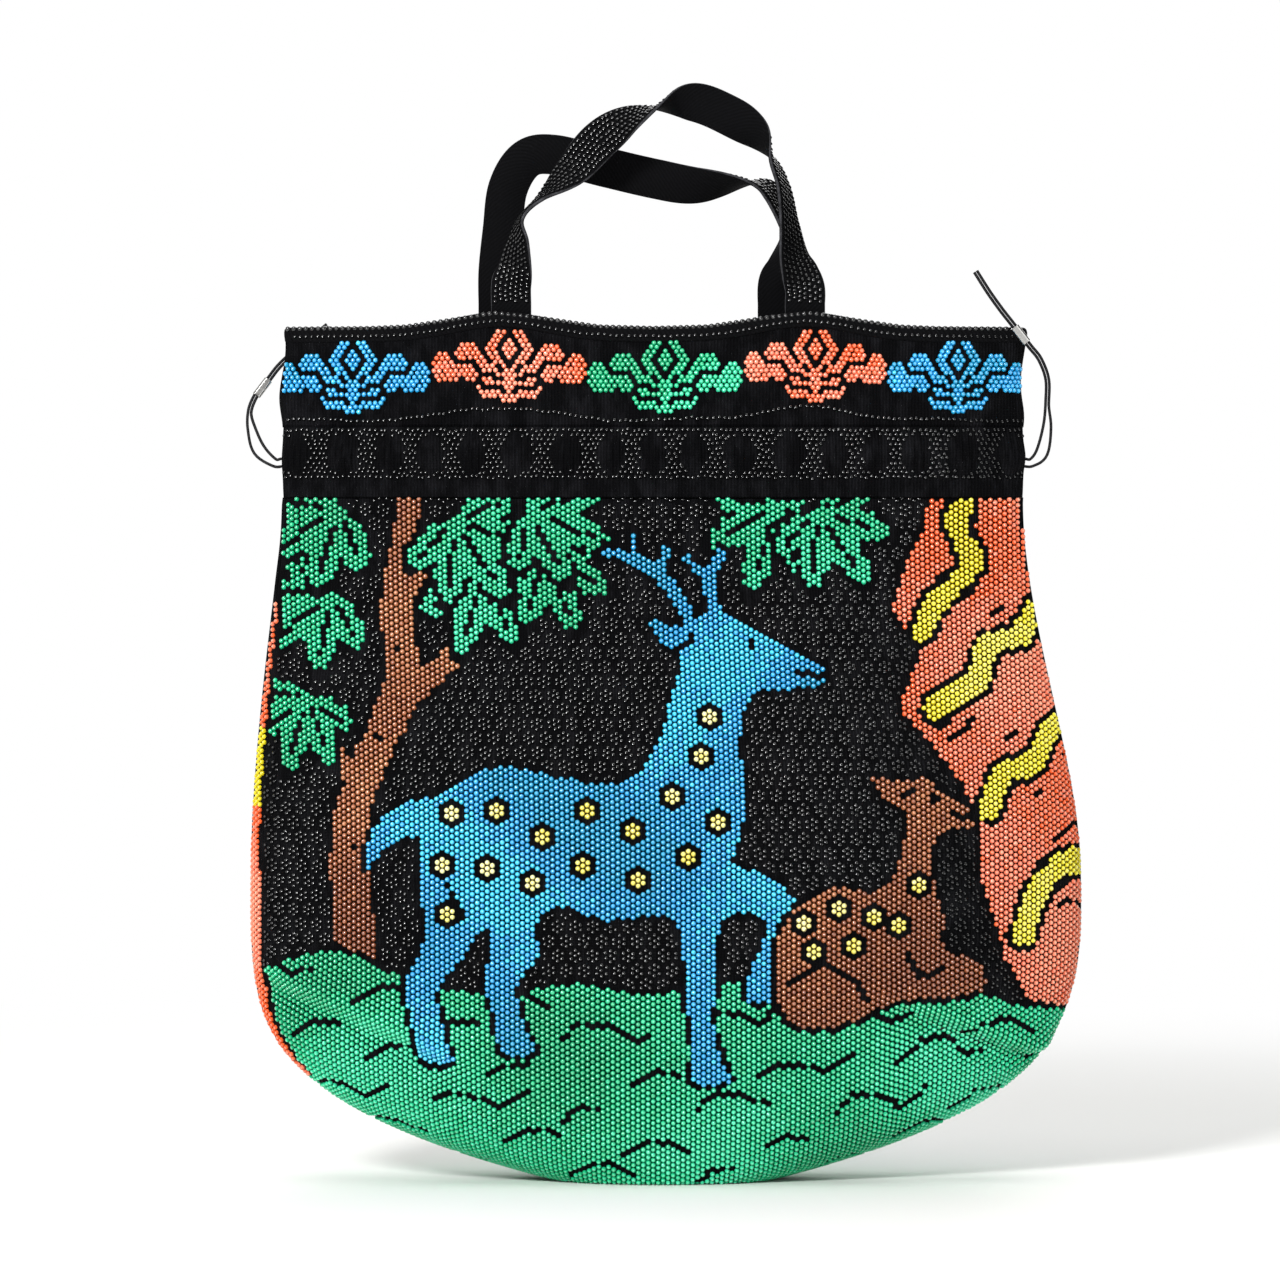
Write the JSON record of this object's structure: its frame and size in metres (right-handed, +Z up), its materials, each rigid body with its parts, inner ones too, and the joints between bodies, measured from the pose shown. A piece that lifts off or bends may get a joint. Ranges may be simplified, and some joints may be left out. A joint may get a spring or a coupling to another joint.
{
  "type": "beaded drawstring handbag",
  "caption": "Soft beaded drawstring handbag with picture panels, a drawcord casing, a bordered rim, two sewn strap handles and crimped side drawcords.",
  "frame": {"origin": "middle of the flat patch that the bag stands on, at floor level", "axes": "+X to the right across the width, +Y from front to back, +Z up from the base to the handles"},
  "size_m": [0.3335, 0.08, 0.4383],
  "materials": {
    "picture_beadwork": "black rib knit sewn with small glossy beads in black, blue, green, brown, coral and yellow",
    "base_beadwork": "black rib knit sewn with small glossy green beads",
    "rib_knit": "fine vertical rib knit, matt black",
    "lining_satin": "smooth woven lining, black",
    "cotton_tape": "plain woven tape, black",
    "strap_beadwork": "black knit sewn with rows of small glossy black beads",
    "black_beads": "glossy black",
    "waxed_cord": "thin waxed cord, black",
    "crimp_metal": "pressed bright metal"
  },
  "bodies": {
    "bag": {"front_panel": "picture_beadwork", "back_panel": "picture_beadwork", "base_panel": "base_beadwork", "left_seam": "rib_knit", "right_seam": "rib_knit", "front_lining": "lining_satin", "back_lining": "lining_satin", "base_lining": "lining_satin", "front_casing": "rib_knit", "back_casing": "rib_knit", "front_channel_tape": "cotton_tape", "back_channel_tape": "cotton_tape", "front_casing_cords": "waxed_cord", "back_casing_cords": "waxed_cord", "front_border": "rib_knit", "back_border": "rib_knit", "front_facing": "lining_satin", "back_facing": "lining_satin", "left_border_seam": "rib_knit", "right_border_seam": "rib_knit", "rim_binding": "cotton_tape", "front_rim_beads": "black_beads", "back_rim_beads": "black_beads", "front_left_tab": "cotton_tape", "front_right_tab": "cotton_tape", "back_left_tab": "cotton_tape", "back_right_tab": "cotton_tape"},
    "front_handle": {"front_handle_tape": "cotton_tape", "front_handle_face": "strap_beadwork"},
    "back_handle": {"back_handle_tape": "cotton_tape", "back_handle_face": "strap_beadwork"},
    "left_drawcord": {"left_cord": "waxed_cord", "left_cord_feed": "waxed_cord", "left_crimp": "crimp_metal"},
    "right_drawcord": {"right_cord": "waxed_cord", "right_cord_feed": "waxed_cord", "right_crimp": "crimp_metal"}
  },
  "joints": [
    {"name": "front_handle_swing", "type": "hinge", "parent": "bag", "child": "front_handle", "pos_m": [-0.002, -0.00961, 0.3504], "axis": [1, 0, 0], "range_deg": [0, 100]},
    {"name": "back_handle_swing", "type": "hinge", "parent": "bag", "child": "back_handle", "pos_m": [-0.01, 0.00968, 0.3504], "axis": [-1, 0, 0], "range_deg": [0, 100]},
    {"name": "left_cord_pull", "type": "slide", "parent": "bag", "child": "left_drawcord", "axis": [-1, 0, 0], "range_m": [0, 0.04]},
    {"name": "right_cord_pull", "type": "slide", "parent": "bag", "child": "right_drawcord", "axis": [1, 0, 0], "range_m": [0, 0.04]}
  ]
}
